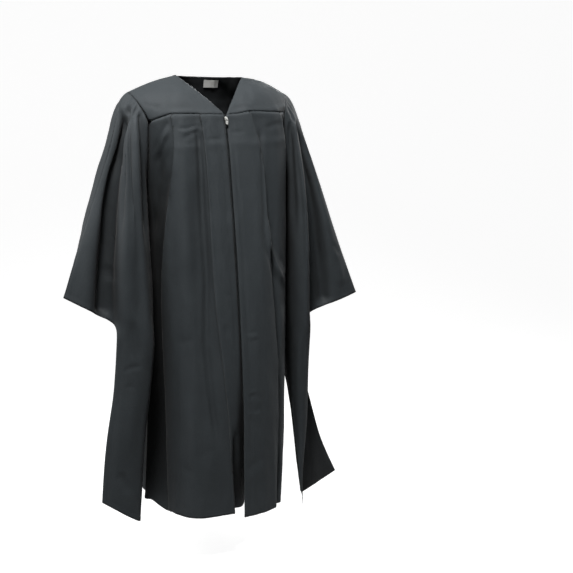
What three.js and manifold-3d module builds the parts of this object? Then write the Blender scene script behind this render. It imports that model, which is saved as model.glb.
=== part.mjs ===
// Graduation gown, filled out as it hangs on its wearer: yokes, pleated fronts, fluted back, wide open
// sleeves that each run down into a long tail, a zip and a neck label. Millimetres, +Z up, front to -Y,
// the wearer's left to +X. The origin is between the shoulders, at the height of the shoulder seams.
import * as THREE from "three";
import { mergeVertices } from "three/addons/utils/BufferGeometryUtils.js";
import Module from "manifold-3d";

const wasm = await Module();
wasm.setup();

// Driving dimensions.
const WALL = 1.6; // cloth with its turned edges
const GAP = 0.3; // between two pieces at a seam
const LAP = 0.9; // how far the sleeves stand off the armholes
const SEAM = -102; // height of the front yoke seam at the zip
const HEM = -1165; // height of the body hem
const CORNER = 60; // degrees round the body where a yoke seam meets the armhole
const UNDERARM = -335; // height of the lowest point of the armhole
const SLIT = 2.2; // half the width of the slit that shows the zip
const SHOULDER = [222, 5, -45]; // outer end of the shoulder seam
const SHOULDER_LIFT = { "-1": 0, 1: 7 }; // the wearer's left shoulder is a little higher
const NECK_SIDE = [95, 0, 0]; // where the shoulder seam meets the neck
const NECK_BACK = [0, 98, 4]; // top of the back neck
const LABEL = { width: 38, height: 20, thick: 0.6, x: 41, drop: 9, clear: 2.6 };
const SLIDER_DROP = 12; // from the point of the neck down to the middle of the slider
const TAB_REST = 8; // degrees that the pull tab leans in to lie on the cloth

// ---------- small helpers ----------

const mix = THREE.MathUtils.lerp;
const rad = THREE.MathUtils.degToRad;
const ease = (t) => (1 - Math.cos(Math.PI * t)) / 2;
const at = (x, y, z) => new THREE.Vector3(x, y, z);
const range = (count) => [...Array(count).keys()];

// Rows of values given at some places, read smoothly at any place between the first and the last.
function keyed(places, rows) {
  const width = rows[0].length;
  const curve = new THREE.CubicInterpolant(places, rows.flat(), width, new Array(width));
  return (place) => [...curve.evaluate(THREE.MathUtils.clamp(place, places[0], places.at(-1)))];
}

// ---------- the plain form of the body ----------

// Half width, depth to the front, depth to the back and squareness of the section, down from the yoke.
const FORM_DEPTHS = [100, 210, 330, 560, 850, 1165];
const bodyForm = keyed(FORM_DEPTHS, [
  [212, 108, 118, 2.9],
  [205, 133, 138, 2.6],
  [196, 152, 152, 2.4],
  [189, 187, 172, 2.2],
  [190, 218, 192, 2.1],
  [197, 232, 208, 2.1],
]);

// The way straight out of the body at a point on its plain form.
function outward(x, y, z) {
  const [width, front, back, square] = bodyForm(-z);
  const depth = y < 0 ? front : back;
  const slope = (p, size) => (Math.sign(p) * Math.abs(p / size) ** (square - 1)) / size;
  return at(slope(x, width), slope(y, depth), 0).normalize();
}

// A point of the body, `turn` degrees round from the centre front (+ to the wearer's left), at height z,
// standing `out` of the plain form.
function body(turn, z, out = 0) {
  const [width, front, back, square] = bodyForm(-z);
  const s = Math.sin(rad(turn));
  const c = Math.cos(rad(turn));
  const x = width * Math.sign(s) * Math.abs(s) ** (2 / square);
  const y = -(c > 0 ? front : back) * Math.sign(c) * Math.abs(c) ** (2 / square);
  return at(x, y, z).addScaledVector(outward(x, y, z), out);
}

// The turn of the point of the front that lies `x` beside the centre at height z.
function turnAt(x, z) {
  const [width, , , square] = bodyForm(-z);
  return (Math.sign(x) * Math.asin((Math.abs(x) / width) ** (square / 2)) * 180) / Math.PI;
}

// ---------- closed walls of cloth ----------

// A closed wall of cloth: its outer face goes through a grid of points, and its inner face lies WALL away,
// on the side of the point `inside`. keep(i, j) says which cells are cloth. edgeWay(point, i, j) may give
// the way across the wall at a point, so that two pieces can meet flush.
function clothWall(grid, inside, { keep = () => true, edgeWay = () => null, wall = WALL } = {}) {
  const rows = grid.length;
  const columns = grid[0].length;
  const facing = Math.sign(
    grid.slice(1).reduce((sum, row, i) => sum + range(columns - 1).reduce((rowSum, j) => {
      const away = grid[i][j].clone().sub(inside);
      return rowSum + (keep(i, j) ? cellNormal(grid, i, j).dot(away) : 0);
    }, 0), 0),
  );
  const normals = grid.map((row) => row.map(() => at(0, 0, 0)));
  const cells = [];
  for (const i of range(rows - 1))
    for (const j of range(columns - 1).filter((k) => keep(i, k))) {
      cells.push([i, j]);
      const n = cellNormal(grid, i, j).multiplyScalar(facing);
      for (const [di, dj] of [[0, 0], [1, 0], [0, 1], [1, 1]]) normals[i + di][j + dj].add(n);
    }
  const outer = grid.flat();
  const inner = outer.map((point, k) => {
    const [i, j] = [Math.floor(k / columns), k % columns];
    const way = edgeWay(point, i, j) ?? normals[i][j];
    return point.clone().addScaledVector(way.clone().normalize(), -wall);
  });
  const id = (i, j) => i * columns + j;
  const faces = [];
  const quad = (a, b, c, d) => faces.push(a, b, c, a, c, d);
  const behind = (a, b, c, d) => faces.push(c, b, a, d, c, a); // the same cell seen from the other side
  const edges = new Map();
  for (const [i, j] of cells) {
    let loop = [id(i, j), id(i + 1, j), id(i + 1, j + 1), id(i, j + 1)];
    if (facing < 0) loop = loop.reverse();
    quad(...loop);
    behind(...loop.map((k) => k + outer.length));
    loop.forEach((a, k) => edges.set(`${a},${loop[(k + 1) % 4]}`, [a, loop[(k + 1) % 4]]));
  }
  for (const [a, b] of edges.values())
    if (!edges.has(`${b},${a}`)) quad(b, a, a + outer.length, b + outer.length);
  return solidGeometry([...outer, ...inner], faces);
}

function cellNormal(grid, i, j) {
  const across = grid[i + 1][j + 1].clone().sub(grid[i][j]);
  const back = grid[i][j + 1].clone().sub(grid[i + 1][j]);
  return across.cross(back);
}

function solidGeometry(points, faces) {
  const used = [...new Set(faces)];
  const number = new Map(used.map((k, n) => [k, n]));
  const geometry = new THREE.BufferGeometry().setFromPoints(used.map((k) => points[k]));
  geometry.setIndex(faces.map((k) => number.get(k)));
  geometry.computeVertexNormals();
  return geometry;
}

// ---------- the group and its cloth ----------

const gown = new THREE.Group();
gown.name = "graduation_gown";

function add(name, geometry, color = 0x34393c, roughness = 0.86, metalness = 0) {
  const mesh = new THREE.Mesh(geometry, new THREE.MeshStandardMaterial({ color, roughness, metalness }));
  mesh.name = name;
  gown.add(mesh);
  return mesh;
}

// ---------- yoke seams and armholes ----------

// Height of the front yoke seam at a place beside the zip: level to the outer pleat, then down to the
// armhole. Side is -1 on the wearer's right.
const SEAM_RUN = {
  "-1": [[143, SEAM], [192, SEAM - 19]],
  1: [[20, SEAM], [72, SEAM + 9], [192, SEAM + 7]],
};
function frontSeam(side, x) {
  const run = SEAM_RUN[side];
  const k = run.findIndex(([place]) => Math.abs(x) < place);
  if (k === 0) return run[0][1];
  if (k < 0) return run.at(-1)[1];
  const [a, b] = [run[k - 1], run[k]];
  return mix(a[1], b[1], (Math.abs(x) - a[0]) / (b[0] - a[0]));
}
const BACK_SEAM = [-140, -118]; // at the centre back and at the armhole
function backSeam(x) {
  return mix(...BACK_SEAM, THREE.MathUtils.clamp((Math.abs(x) - 60) / 132, 0, 1));
}
function seamPoint(side, turn, out) {
  const isFront = Math.abs(turn) < 90;
  const x = body(turn, SEAM, 0).x;
  return body(turn, isFront ? frontSeam(side, x) : backSeam(x), out);
}

// The armhole in two halves, front and back, each read from the shoulder (0) to the underarm (1).
const ARMHOLE_TURNS = [[68.6, -210], [76, -295], [90, UNDERARM]];
const ARMHOLE_SHARES = [0, 0.16, 0.32, 0.58, 0.82, 1];
const YOKE_BULGE = { neck: 5, middle: 16, arm: 13, backNeck: 5, backMiddle: 24 };

const shoulderEnd = (side) => at(side * SHOULDER[0], SHOULDER[1], SHOULDER[2] + SHOULDER_LIFT[side]);
function armEdge(side, isFront, share) {
  const corner = seamPoint(side, side * (isFront ? CORNER : 180 - CORNER), 1.5);
  return bulged(shoulderEnd(side), corner, share, YOKE_BULGE.arm, side, 1);
}

// A point of a straight line across a yoke, lifted into the curve of the shoulder.
function bulged(top, low, share, height, side, armward) {
  const forward = Math.sign(low.y - top.y);
  const lift = at(side * 0.35 * armward, forward * 0.68, 0.72).normalize();
  return top.clone().lerp(low, share).addScaledVector(lift, height * Math.sin(Math.PI * share));
}

function armhole(side, isFront) {
  const points = [
    armEdge(side, isFront, 0),
    armEdge(side, isFront, 0.5),
    armEdge(side, isFront, 1),
    ...ARMHOLE_TURNS.map(([turn, z]) => body(side * (isFront ? turn : 180 - turn), z, 0)),
  ];
  return (share) => {
    const k = Math.min(ARMHOLE_SHARES.findIndex((s) => s >= share) || 1, 5);
    const t = (share - ARMHOLE_SHARES[k - 1]) / (ARMHOLE_SHARES[k] - ARMHOLE_SHARES[k - 1]);
    return points[k - 1].clone().lerp(points[k], t).add(at(side * LAP, 0, 0));
  };
}

// ---------- fronts and back ----------

// Shares of the way from the top edge to the hem at which the folds below are given, and the rows made.
const LEVELS = [0, 0.1, 0.22, 0.43, 0.7, 1];
const PANEL_ROWS = [0, 0.025, 0.06, 0.1, 0.16, 0.22, 0.29, 0.36, 0.43, 0.52, 0.61, 0.7, 0.8, 0.9, 1];
const levelHeight = (share) => mix(SEAM, HEM, share);
const zipEdge = (places) => places.map((x, k) => turnAt(x, levelHeight(LEVELS[k])));

// Each fold line of a front: how far round from the zip it lies, and how far it stands out of the plain
// form, at the six levels. `top` is the height where it starts, if that isn't the yoke seam, and `dip` is
// how far it hangs below the hem's height.
// How far the side seams stand out of the plain form, by side: the skirt swings a little to the right.
const SIDE_OUT = { "-1": [0, 0, 0, 0, 7, 18], 1: [0, 0, 0, 0, -7, -13] };
const SIDE_TURN = [89.6, 89.7, 89.7, 89.8, 89.8, 89.8];
const sideSeam = (side) => ({ turn: SIDE_TURN, out: SIDE_OUT[side], top: UNDERARM });
const RIGHT_FRONT = [
  { turn: zipEdge([SLIT, SLIT, SLIT, SLIT, SLIT, -42]), out: [-1, -2, -3, -5, -8, -80] }, // zip edge
  { turn: [6, 7, 8, 9, 6, 7], out: [3, 4, 4, 3, 0, -36] },
  { turn: [11.8, 13.5, 16, 19, 14, 8.5], out: [5, 7, 8, 8, 6, -25] }, // inner pleat edge
  { turn: [10.5, 12, 14.5, 17.5, 13.5, 10], out: [0, -1, -3, -5, -7, -27] }, // tucked under it
  { turn: [15, 18, 22, 26, 25, 19], out: [-2, -8, -12, -16, -18, -22] },
  { turn: [24, 28, 35, 42, 44, 42], out: [4, 8, 10, 12, 12, 10] }, // outer pleat, crown
  { turn: [34.4, 39, 51.6, 66, 68, 67], out: [6, 10, 12, 10, 4, 0] }, // outer pleat edge
  { turn: [33, 37.4, 50, 65.5, 69, 69], out: [1, 1, 0, -6, -16, -18], dip: 16 }, // tucked under it
  { turn: [40, 46, 58, 72, 74, 74], out: [0, -9, -16, -28, -38, -34], dip: 26 },
  { turn: [CORNER, 62, 68, 78, 80, 80], out: [0, -5, -10, -22, -32, -28], dip: 28 },
  { turn: [68.6, 70.5, 74, 82, 85, 84.5], out: [0, -3, -6, -14, -18, -14], top: -210, dip: 16 },
  { turn: [76, 77.5, 80, 85.5, 87.8, 87.5], out: [0, -1, -3, -5, -3, 3], top: -295 },
  sideSeam(-1),
];
const LEFT_FRONT = [
  { turn: zipEdge([SLIT, SLIT, 1.5, -1, -7, -13]), out: [-1, -1, 0, 2, 6, 4] }, // zip edge
  { turn: [6, 11, 13, 15, 17, 13], out: [3, 4, 5, 8, 10, 7] },
  { turn: [12, 21.6, 26.5, 31, 34, 26], out: [5, 7, 9, 11, 11, 9] }, // inner pleat edge
  { turn: [10.7, 20.2, 25.2, 29.7, 33, 25.5], out: [0, 0, 0, 0, 0, -3] }, // tucked under it
  { turn: [15, 24, 29, 34, 37, 29], out: [-1, -4, -6, -8, -8, -8] },
  { turn: [30, 40, 43, 45, 46, 34], out: [3, 6, 8, 10, 6, 3] },
  { turn: [46.6, 57, 60, 60, 57, 36], out: [6, 12, 14, 15, 5, 0] }, // outer pleat edge
  { turn: [45.2, 55.6, 58.7, 58.9, 57.5, 38.5], out: [1.5, 6, 7, 8, 0, -5] }, // tucked under it
  { turn: [50, 62, 68, 69, 67, 51], out: [0, -9, -13, -16, -20, -29] },
  { turn: [CORNER, 66, 73, 77, 77, 67], out: [0, -5, -10, -14, -16, -25] },
  { turn: [68.6, 72, 77, 82, 83.5, 80], out: [0, -2, -3, -4, -7, -15], top: -210 },
  { turn: [76, 78.5, 82, 85.5, 87, 85.5], out: [0, -1, -2, -2, -4, -11], top: -295 },
  sideSeam(1),
];

// The back hangs in even flutes that start at the yoke seam and deepen to the hem.
const FLUTES = 7;
const FLUTE_DEPTH = [0, 5, 8, 11, 14, 17];
function backLines() {
  const armward = (side) =>
    ARMHOLE_TURNS.map(([turn, top], n) => ({
      turn: LEVELS.map((share) => {
        const start = 180 - Math.min(turn, 89.6);
        const spread = mix(start, 90.3 + 4 * (2 - n), Math.min(1, 2 * share));
        return side < 0 ? 360 - spread : spread;
      }),
      out: SIDE_OUT[side].map((out) => out * (1 - 0.3 * (2 - n))),
      top,
    }));
  const flutes = range(2 * FLUTES + 1).map((k) => {
    const share = k / (2 * FLUTES);
    const isEnd = k === 0 || k === 2 * FLUTES;
    return {
      turn: LEVELS.map((level) =>
        mix(mix(180 - CORNER, 180 + CORNER, share), mix(100, 260, share), Math.min(1, level * 1.4)),
      ),
      out: FLUTE_DEPTH.map((depth) => (isEnd ? 0 : depth * (k % 2 ? 1 : -0.7))),
    };
  });
  return [...armward(1).reverse(), ...flutes, ...armward(-1)];
}

// The grid of a front or the back, with `steps` strips between each two fold lines.
function panelGrid(lines, side, steps) {
  const shapes = lines.map((line) => keyed(LEVELS, line.turn.map((turn, k) => [turn, line.out[k]])));
  const grid = PANEL_ROWS.map(() => []);
  const last = lines.length - 1;
  const topOf = (turn) => seamPoint(side, side * turn, 0).z;
  for (const c of range(last * steps + 1)) {
    const k = Math.min(Math.floor(c / steps), last - 1);
    const t = c / steps - k;
    const [first, next] = [lines[k], lines[k + 1]];
    const turn = mix(first.turn[0], next.turn[0], t);
    const isSeam = !first.top && !next.top;
    const tops = [first, next].map((line) => line.top ?? topOf(line.turn[0]));
    const top = isSeam ? topOf(turn) - 2 * GAP : mix(...tops, t) - (tops[0] === tops[1] ? 2 * GAP : 0);
    const hem = HEM - mix(first.dip ?? 0, next.dip ?? 0, ease(t));
    PANEL_ROWS.forEach((share, i) => {
      const [a, b] = [shapes[k](share), shapes[k + 1](share)];
      grid[i].push(body(side * mix(a[0], b[0], t), mix(top, hem, share), mix(a[1], b[1], ease(t))));
    });
  }
  return grid;
}

const level = (point, i) => (i === 0 ? outward(point.x, point.y, point.z) : null);
const BODY_CORE = at(0, 0, -500);
// The side seams: the fronts and the back stop GAP apart there, with their edges square to the side.
const squareSide = (last) => (point, i, j) =>
  j === 0 || j === last ? (Math.abs(point.x) > 150 ? at(Math.sign(point.x), 0, 0) : null) : level(point, i);

for (const [name, lines, side] of [["front_right", RIGHT_FRONT, -1], ["front_left", LEFT_FRONT, 1]]) {
  const grid = panelGrid(lines, side, 2);
  add(name, clothWall(grid, BODY_CORE, { edgeWay: squareSide(grid[0].length - 1) }));
}
const backGrid = panelGrid(backLines(), 1, 2);
add("back", clothWall(backGrid, BODY_CORE, { edgeWay: squareSide(backGrid[0].length - 1) }));

// ---------- yokes ----------

const YOKE_ROWS = [0, 0.12, 0.27, 0.45, 0.63, 0.82, 1];

// A yoke is a fan of lines from its top edge to its seam, each lifted into the curve of the shoulder.
function yokeGrid(tops, lows, heights, side) {
  return YOKE_ROWS.map((share) =>
    tops.map((top, k) => bulged(top, lows[k], share, heights[k], side(k), Math.abs(top.x) / SHOULDER[0])),
  );
}

// A point of the shoulder seam, from the neck (0) to the armhole (1), a little towards front or back.
function shoulderPoint(side, share, towards) {
  const point = at(side * NECK_SIDE[0], NECK_SIDE[1], NECK_SIDE[2]).lerp(shoulderEnd(side), share);
  return point.add(at(0, towards * GAP, (side < 0 ? 5 : 10) * Math.sin(Math.PI * share)));
}

function frontYoke(side) {
  const turns = [turnAt(SLIT, SEAM), 3, 6, 9, 11.8, 17, 24, 34.4, 42, 50, CORNER];
  const lows = turns.map((turn) => seamPoint(side, side * turn, 1.5));
  const shares = lows.map((low) => Math.abs((low.x - lows[0].x) / (lows.at(-1).x - lows[0].x)));
  const tops = shares.map((share) => shoulderPoint(side, share, -1));
  const { neck, middle, arm } = YOKE_BULGE;
  const heights = shares.map((share) => mix(mix(neck, arm, share), middle, Math.sin(Math.PI * share)));
  const grid = yokeGrid(tops, lows, heights, () => side);
  const edgeWay = (point, i) => {
    if (i === 0) return at(side * 0.3, 0, 1);
    return i === YOKE_ROWS.length - 1 ? level(point, 0) : null;
  };
  return clothWall(grid, at(side * 130, 60, -150), { edgeWay });
}

const NECK_STEPS = 8; // strips along the back neck
const ARM_STEPS = 5; // strips along each shoulder
function backNeck(share) {
  const turn = Math.PI * (share - 0.5);
  const x = NECK_SIDE[0] * Math.sin(turn);
  const y = NECK_BACK[1] * Math.cos(turn) ** 0.8;
  return at(x, y, NECK_BACK[2] * Math.cos(turn) + 0.3);
}
function backYokeGrid() {
  const shoulder = (side) => range(ARM_STEPS + 1).map((k) => shoulderPoint(side, k / ARM_STEPS, 1));
  const neck = range(NECK_STEPS - 1).map((k) => backNeck((k + 1) / NECK_STEPS));
  const tops = [...shoulder(-1).reverse(), ...neck, ...shoulder(1)];
  const last = tops.length - 1;
  const turns = tops.map((top, k) => mix(180 + CORNER, 180 - CORNER, k / last));
  const lows = turns.map((turn) => seamPoint(1, turn, 1.5));
  const { arm, backNeck: low, backMiddle } = YOKE_BULGE;
  const heights = tops.map((top) => {
    const share = THREE.MathUtils.clamp((Math.abs(top.x) - 20) / (SHOULDER[0] - 20), 0, 1);
    return mix(low, arm, share) + (backMiddle - arm) * Math.sin(Math.PI * share);
  });
  return yokeGrid(tops, lows, heights, (k) => Math.sign(tops[k].x));
}
const backYoke = backYokeGrid();
const isShoulder = (j) => j <= ARM_STEPS || j >= ARM_STEPS + NECK_STEPS;
add("yoke_front_right", frontYoke(-1));
add("yoke_front_left", frontYoke(1));
add(
  "yoke_back",
  clothWall(backYoke, at(0, 20, -120), {
    edgeWay: (point, i, j) => {
      if (i === YOKE_ROWS.length - 1) return level(point, 0);
      return i === 0 && isShoulder(j) ? at(Math.sign(point.x) * 0.3, 0, 1) : null;
    },
  }),
);

// ---------- sleeves ----------

// Every sleeve piece is a set of lines that run down the cloth from the armhole. `from` is where a line
// leaves the armhole, between the shoulder (0) and the underarm (1). `down` is its way to the cuff and
// `tail` its way on down the hanging tail. Both are written for the wearer's right.
const RIGHT_OUTER = {
  from: 0,
  down: [
    [-235, 3, -50], [-248, -3, -70], [-277, -25, -157], [-335, -38, -318], [-383, -48, -445],
    [-427, -60, -558],
  ],
};
const RIGHT_INNER = {
  from: 1,
  down: [[-201, 0, -380], [-201, 2, -445], [-202, 5, -600], [-205, 6, -644]],
  tail: [[-208, 8, -690], [-222, 12, -830], [-232, 15, -930], [-256, 16, -1160]],
};
const SLEEVES = {
  right_front: {
    side: -1,
    isFront: true,
    free: 3, // the tail's outer edge is this line
    lines: [
      RIGHT_OUTER,
      {
        from: 0.05,
        down: [
          [-250, -22, -85], [-276, -46, -165], [-312, -62, -318], [-340, -74, -445], [-366, -84, -594],
        ],
      },
      {
        from: 0.1,
        down: [
          [-246, -34, -100], [-264, -40, -165], [-285, -36, -318], [-295, -36, -445],
          [-302, -46, -634],
        ],
      },
      { // outer edge of the front fold
        from: 0.125,
        down: [
          [-243, -47, -104], [-265, -72, -165], [-284, -88, -318], [-297, -97, -445],
          [-303, -100, -640],
        ],
        tail: [[-306, -96, -690], [-320, -95, -831], [-342, -95, -936], [-360, -95, -1107]],
      },
      {
        from: 0.15,
        down: [
          [-236, -58, -108], [-254, -90, -165], [-265, -108, -318], [-272, -121, -445],
          [-274, -124, -640],
        ],
        tail: [[-276, -118, -690], [-292, -114, -831], [-312, -114, -936], [-330, -112, -1127]],
      },
      {
        from: 0.18,
        down: [
          [-230, -56, -110], [-243, -66, -165], [-250, -90, -318], [-250, -104, -445],
          [-248, -114, -640],
        ],
        tail: [[-248, -122, -690], [-266, -118, -831], [-285, -116, -936], [-303, -116, -1147]],
      },
      {
        from: 0.21,
        down: [
          [-224, -68, -114], [-233, -92, -165], [-238, -110, -318], [-234, -116, -445],
          [-228, -120, -640],
        ],
        tail: [[-224, -120, -690], [-244, -116, -831], [-260, -112, -936], [-280, -114, -1164]],
      },
      { // inner edge of the front fold
        from: 0.245,
        down: [
          [-216, -68, -118], [-222, -84, -165], [-228, -106, -318], [-221, -105, -445],
          [-212, -108, -640],
        ],
        tail: [[-203, -110, -690], [-222, -110, -831], [-236, -105, -936], [-258, -110, -1180]],
      },
      {
        from: 0.28,
        down: [
          [-207, -66, -124], [-208, -70, -180], [-202, -72, -318], [-196, -71, -445],
          [-193, -72, -600], [-195, -72, -644],
        ],
        tail: [[-198, -72, -690], [-214, -68, -831], [-226, -62, -936], [-252, -60, -1176]],
      },
      {
        from: 0.5,
        down: [
          [-200, -66, -230], [-199, -60, -320], [-197, -50, -445], [-196, -48, -600],
          [-199, -47, -644],
        ],
        tail: [[-203, -44, -690], [-216, -38, -831], [-228, -32, -936], [-254, -30, -1171]],
      },
      {
        from: 0.78,
        down: [
          [-200, -44, -320], [-199, -30, -390], [-199, -26, -445], [-199, -24, -600],
          [-202, -23, -644],
        ],
        tail: [[-206, -20, -690], [-220, -14, -831], [-230, -8, -936], [-255, -6, -1165]],
      },
      RIGHT_INNER,
    ],
  },
  right_back: {
    side: -1,
    isFront: false,
    free: 5,
    lines: [
      RIGHT_OUTER,
      {
        from: 0.1,
        down: [[-250, 26, -76], [-284, 12, -160], [-336, 10, -318], [-374, 8, -445], [-410, -18, -560]],
      },
      {
        from: 0.2,
        down: [[-243, 48, -92], [-268, 46, -165], [-308, 45, -318], [-338, 40, -445], [-374, 22, -574]],
      },
      {
        from: 0.3,
        down: [
          [-232, 66, -110], [-251, 70, -175], [-279, 72, -318], [-298, 68, -445], [-330, 54, -590],
        ],
      },
      {
        from: 0.4,
        down: [
          [-219, 74, -135], [-234, 66, -190], [-256, 58, -318], [-270, 54, -445], [-292, 44, -604],
        ],
      },
      { // outer edge of the tail's back layer
        from: 0.5,
        down: [[-208, 74, -175], [-224, 74, -225], [-240, 72, -318], [-246, 72, -445], [-252, 64, -616]],
        tail: [[-243, 54, -690], [-256, 46, -831], [-272, 40, -936], [-295, 34, -1088]],
      },
      {
        from: 0.7,
        down: [[-205, 58, -270], [-216, 60, -340], [-223, 60, -445], [-228, 56, -626]],
        tail: [[-228, 44, -690], [-242, 38, -831], [-256, 32, -936], [-282, 28, -1110]],
      },
      {
        from: 0.88,
        down: [[-202, 34, -325], [-208, 38, -385], [-211, 38, -445], [-213, 34, -634]],
        tail: [[-217, 28, -690], [-232, 24, -831], [-244, 22, -936], [-268, 22, -1136]],
      },
      RIGHT_INNER,
    ],
  },
};

// The wearer's left sleeve, with its narrow front fold and a back layer that flares out below.
const LEFT_OUTER = {
  from: 0,
  down: [
    [236, 3, -42], [252, -3, -64], [284, -25, -175], [323, -35, -285], [372, -48, -440],
    [438, -60, -618],
  ],
};
const LEFT_INNER = {
  from: 1,
  down: [[201, 0, -380], [201, 2, -475], [201, 4, -640]],
  tail: [
    [205, 4, -735], [213, 4, -815], [238, -10, -905], [245, -20, -1000], [252, -30, -1100],
    [274, -26, -1236],
  ],
};
SLEEVES.left_front = {
  side: 1,
  isFront: true,
  free: 3,
  lines: [
    LEFT_OUTER,
    {
      from: 0.05,
      down: [[249, -20, -85], [272, -44, -185], [299, -60, -300], [330, -70, -440], [372, -82, -632]],
    },
    {
      from: 0.1,
      down: [[243, -32, -102], [254, -40, -190], [259, -40, -335], [266, -44, -475], [273, -54, -664]],
    },
    { // outer edge of the front fold
      from: 0.125,
      down: [[241, -46, -106], [251, -70, -195], [253, -88, -335], [259, -95, -475], [263, -95, -666]],
      tail: [
        [266, -90, -735], [260, -82, -843], [268, -75, -933], [261, -75, -1045], [248, -75, -1140],
        [253, -74, -1250],
      ],
    },
    {
      from: 0.15,
      down: [[234, -56, -110], [241, -88, -200], [243, -108, -335], [247, -112, -475], [248, -112, -664]],
      tail: [
        [250, -104, -735], [246, -96, -843], [253, -88, -933], [251, -82, -1045], [244, -79, -1140],
        [251, -77, -1240],
      ],
    },
    {
      from: 0.18,
      down: [[228, -58, -114], [230, -80, -200], [230, -102, -335], [232, -108, -475], [232, -108, -662]],
      tail: [
        [233, -104, -735], [230, -96, -843], [236, -88, -933], [240, -82, -1045], [239, -79, -1140],
        [249, -77, -1230],
      ],
    },
    { // inner edge of the front fold
      from: 0.24,
      down: [[217, -66, -120], [217, -82, -200], [213, -94, -335], [209, -92, -475], [211, -88, -660]],
      tail: [
        [213, -86, -735], [210, -84, -843], [205, -80, -925], [220, -75, -1038], [232, -75, -1137],
        [247, -72, -1212],
      ],
    },
    {
      from: 0.28,
      down: [[208, -66, -124], [208, -70, -200], [203, -72, -335], [197, -66, -475], [197, -64, -640]],
      tail: [
        [199, -62, -735], [203, -58, -815], [216, -55, -905], [229, -56, -1030], [239, -58, -1120],
        [252, -58, -1214],
      ],
    },
    {
      from: 0.5,
      down: [[200, -66, -230], [199, -58, -330], [197, -48, -475], [197, -44, -640]],
      tail: [
        [200, -40, -735], [206, -38, -815], [224, -36, -905], [236, -40, -1030], [244, -44, -1120],
        [260, -44, -1220],
      ],
    },
    {
      from: 0.78,
      down: [[200, -44, -320], [199, -30, -400], [199, -24, -475], [199, -20, -640]],
      tail: [
        [202, -17, -735], [209, -16, -815], [231, -20, -905], [241, -28, -1015], [249, -35, -1110],
        [268, -34, -1228],
      ],
    },
    LEFT_INNER,
  ],
};
SLEEVES.left_back = {
  side: 1,
  isFront: false,
  free: 5,
  lines: [
    LEFT_OUTER,
    {
      from: 0.1,
      down: [[250, 26, -76], [284, 12, -175], [318, 10, -290], [356, 8, -440], [410, -18, -612]],
    },
    {
      from: 0.2,
      down: [[243, 48, -92], [268, 46, -175], [298, 45, -300], [326, 40, -440], [372, 22, -616]],
    },
    {
      from: 0.3,
      down: [[232, 66, -110], [250, 70, -180], [273, 72, -318], [292, 68, -445], [330, 54, -620]],
    },
    {
      from: 0.4,
      down: [[219, 74, -135], [234, 66, -190], [252, 58, -318], [266, 54, -445], [292, 44, -624]],
    },
    { // outer edge of the tail's back layer
      from: 0.5,
      down: [[208, 74, -175], [224, 74, -225], [238, 72, -318], [246, 72, -445], [256, 60, -628]],
      tail: [[272, 34, -735], [290, 10, -850], [319, 0, -963], [353, 0, -1087], [407, 0, -1200]],
    },
    {
      from: 0.7,
      down: [[205, 58, -270], [216, 60, -340], [223, 60, -445], [232, 54, -632]],
      tail: [[247, 32, -735], [262, 14, -850], [289, 2, -963], [320, -6, -1087], [361, -10, -1212]],
    },
    {
      from: 0.88,
      down: [[202, 34, -325], [208, 38, -385], [211, 38, -445], [214, 32, -636]],
      tail: [[224, 22, -735], [236, 12, -850], [264, -6, -963], [285, -16, -1087], [316, -20, -1224]],
    },
    LEFT_INNER,
  ],
};

const CUFF_ROWS = [0, 0.035, 0.08, 0.14, 0.22, 0.32, 0.44, 0.57, 0.71, 0.86, 1];
const TAIL_ROWS = [0.1, 0.24, 0.4, 0.56, 0.72, 0.86, 1];

// The grid of a sleeve piece: rows from the armhole to the cuff, then on down the tail.
function sleeveGrid({ side, isFront, lines }) {
  const edge = armhole(side, isFront);
  const columns = lines.map(({ from, down, tail = [] }) => {
    const root = edge(from);
    const upper = [root, ...down.map((p) => at(...p))];
    const lower = [...upper, ...tail.map((p) => at(...p))];
    const whole = new THREE.CatmullRomCurve3(lower, false, "centripetal");
    const cuff = (upper.length - 1) / (lower.length - 1);
    const place = (t) => whole.getPoint(t);
    return [
      ...CUFF_ROWS.map((share) => place(alongShare(whole, 0, cuff, share))),
      ...TAIL_ROWS.map((share) => place(tail.length ? alongShare(whole, cuff, 1, share) : cuff)),
    ];
  });
  return range(CUFF_ROWS.length + TAIL_ROWS.length).map((i) => columns.map((column) => column[i]));
}

// The place on a curve that lies a share of the length along between two of its places.
function alongShare(curve, from, to, share) {
  const marks = range(41).map((k) => mix(from, to, k / 40));
  const points = marks.map((mark) => curve.getPoint(mark));
  const lengths = [0];
  points.slice(1).forEach((p, k) => lengths.push(lengths[k] + p.distanceTo(points[k])));
  const goal = share * lengths.at(-1);
  const k = Math.min(Math.max(lengths.findIndex((length) => length >= goal), 1), 40);
  return mix(marks[k - 1], marks[k], (goal - lengths[k - 1]) / (lengths[k] - lengths[k - 1]));
}

// The front and back pieces of a sleeve meet GAP apart along its outer edge and its inner seam.
function sleeveWall(piece) {
  const { side, isFront, free } = piece;
  const grid = sleeveGrid(piece);
  const last = grid[0].length - 1;
  const towards = isFront ? -1 : 1;
  for (const row of grid) for (const j of [0, last]) row[j].y += towards * GAP;
  const edgeWay = (point, i, j) => {
    if (i === 0) return at(0, point.y - 5, point.z + 185);
    if (j === 0) return at(side, 0, 0.35);
    return j === last ? at(-side, 0, 0) : null;
  };
  const keep = (i, j) => i < CUFF_ROWS.length - 1 || j >= free;
  const middle = grid[grid.length >> 2][last >> 1];
  return clothWall(grid, at(middle.x, middle.y - towards * 50, middle.z), { keep, edgeWay });
}

for (const [name, piece] of Object.entries(SLEEVES)) add(`sleeve_${name}`, sleeveWall(piece));

// ---------- zip and label ----------

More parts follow.
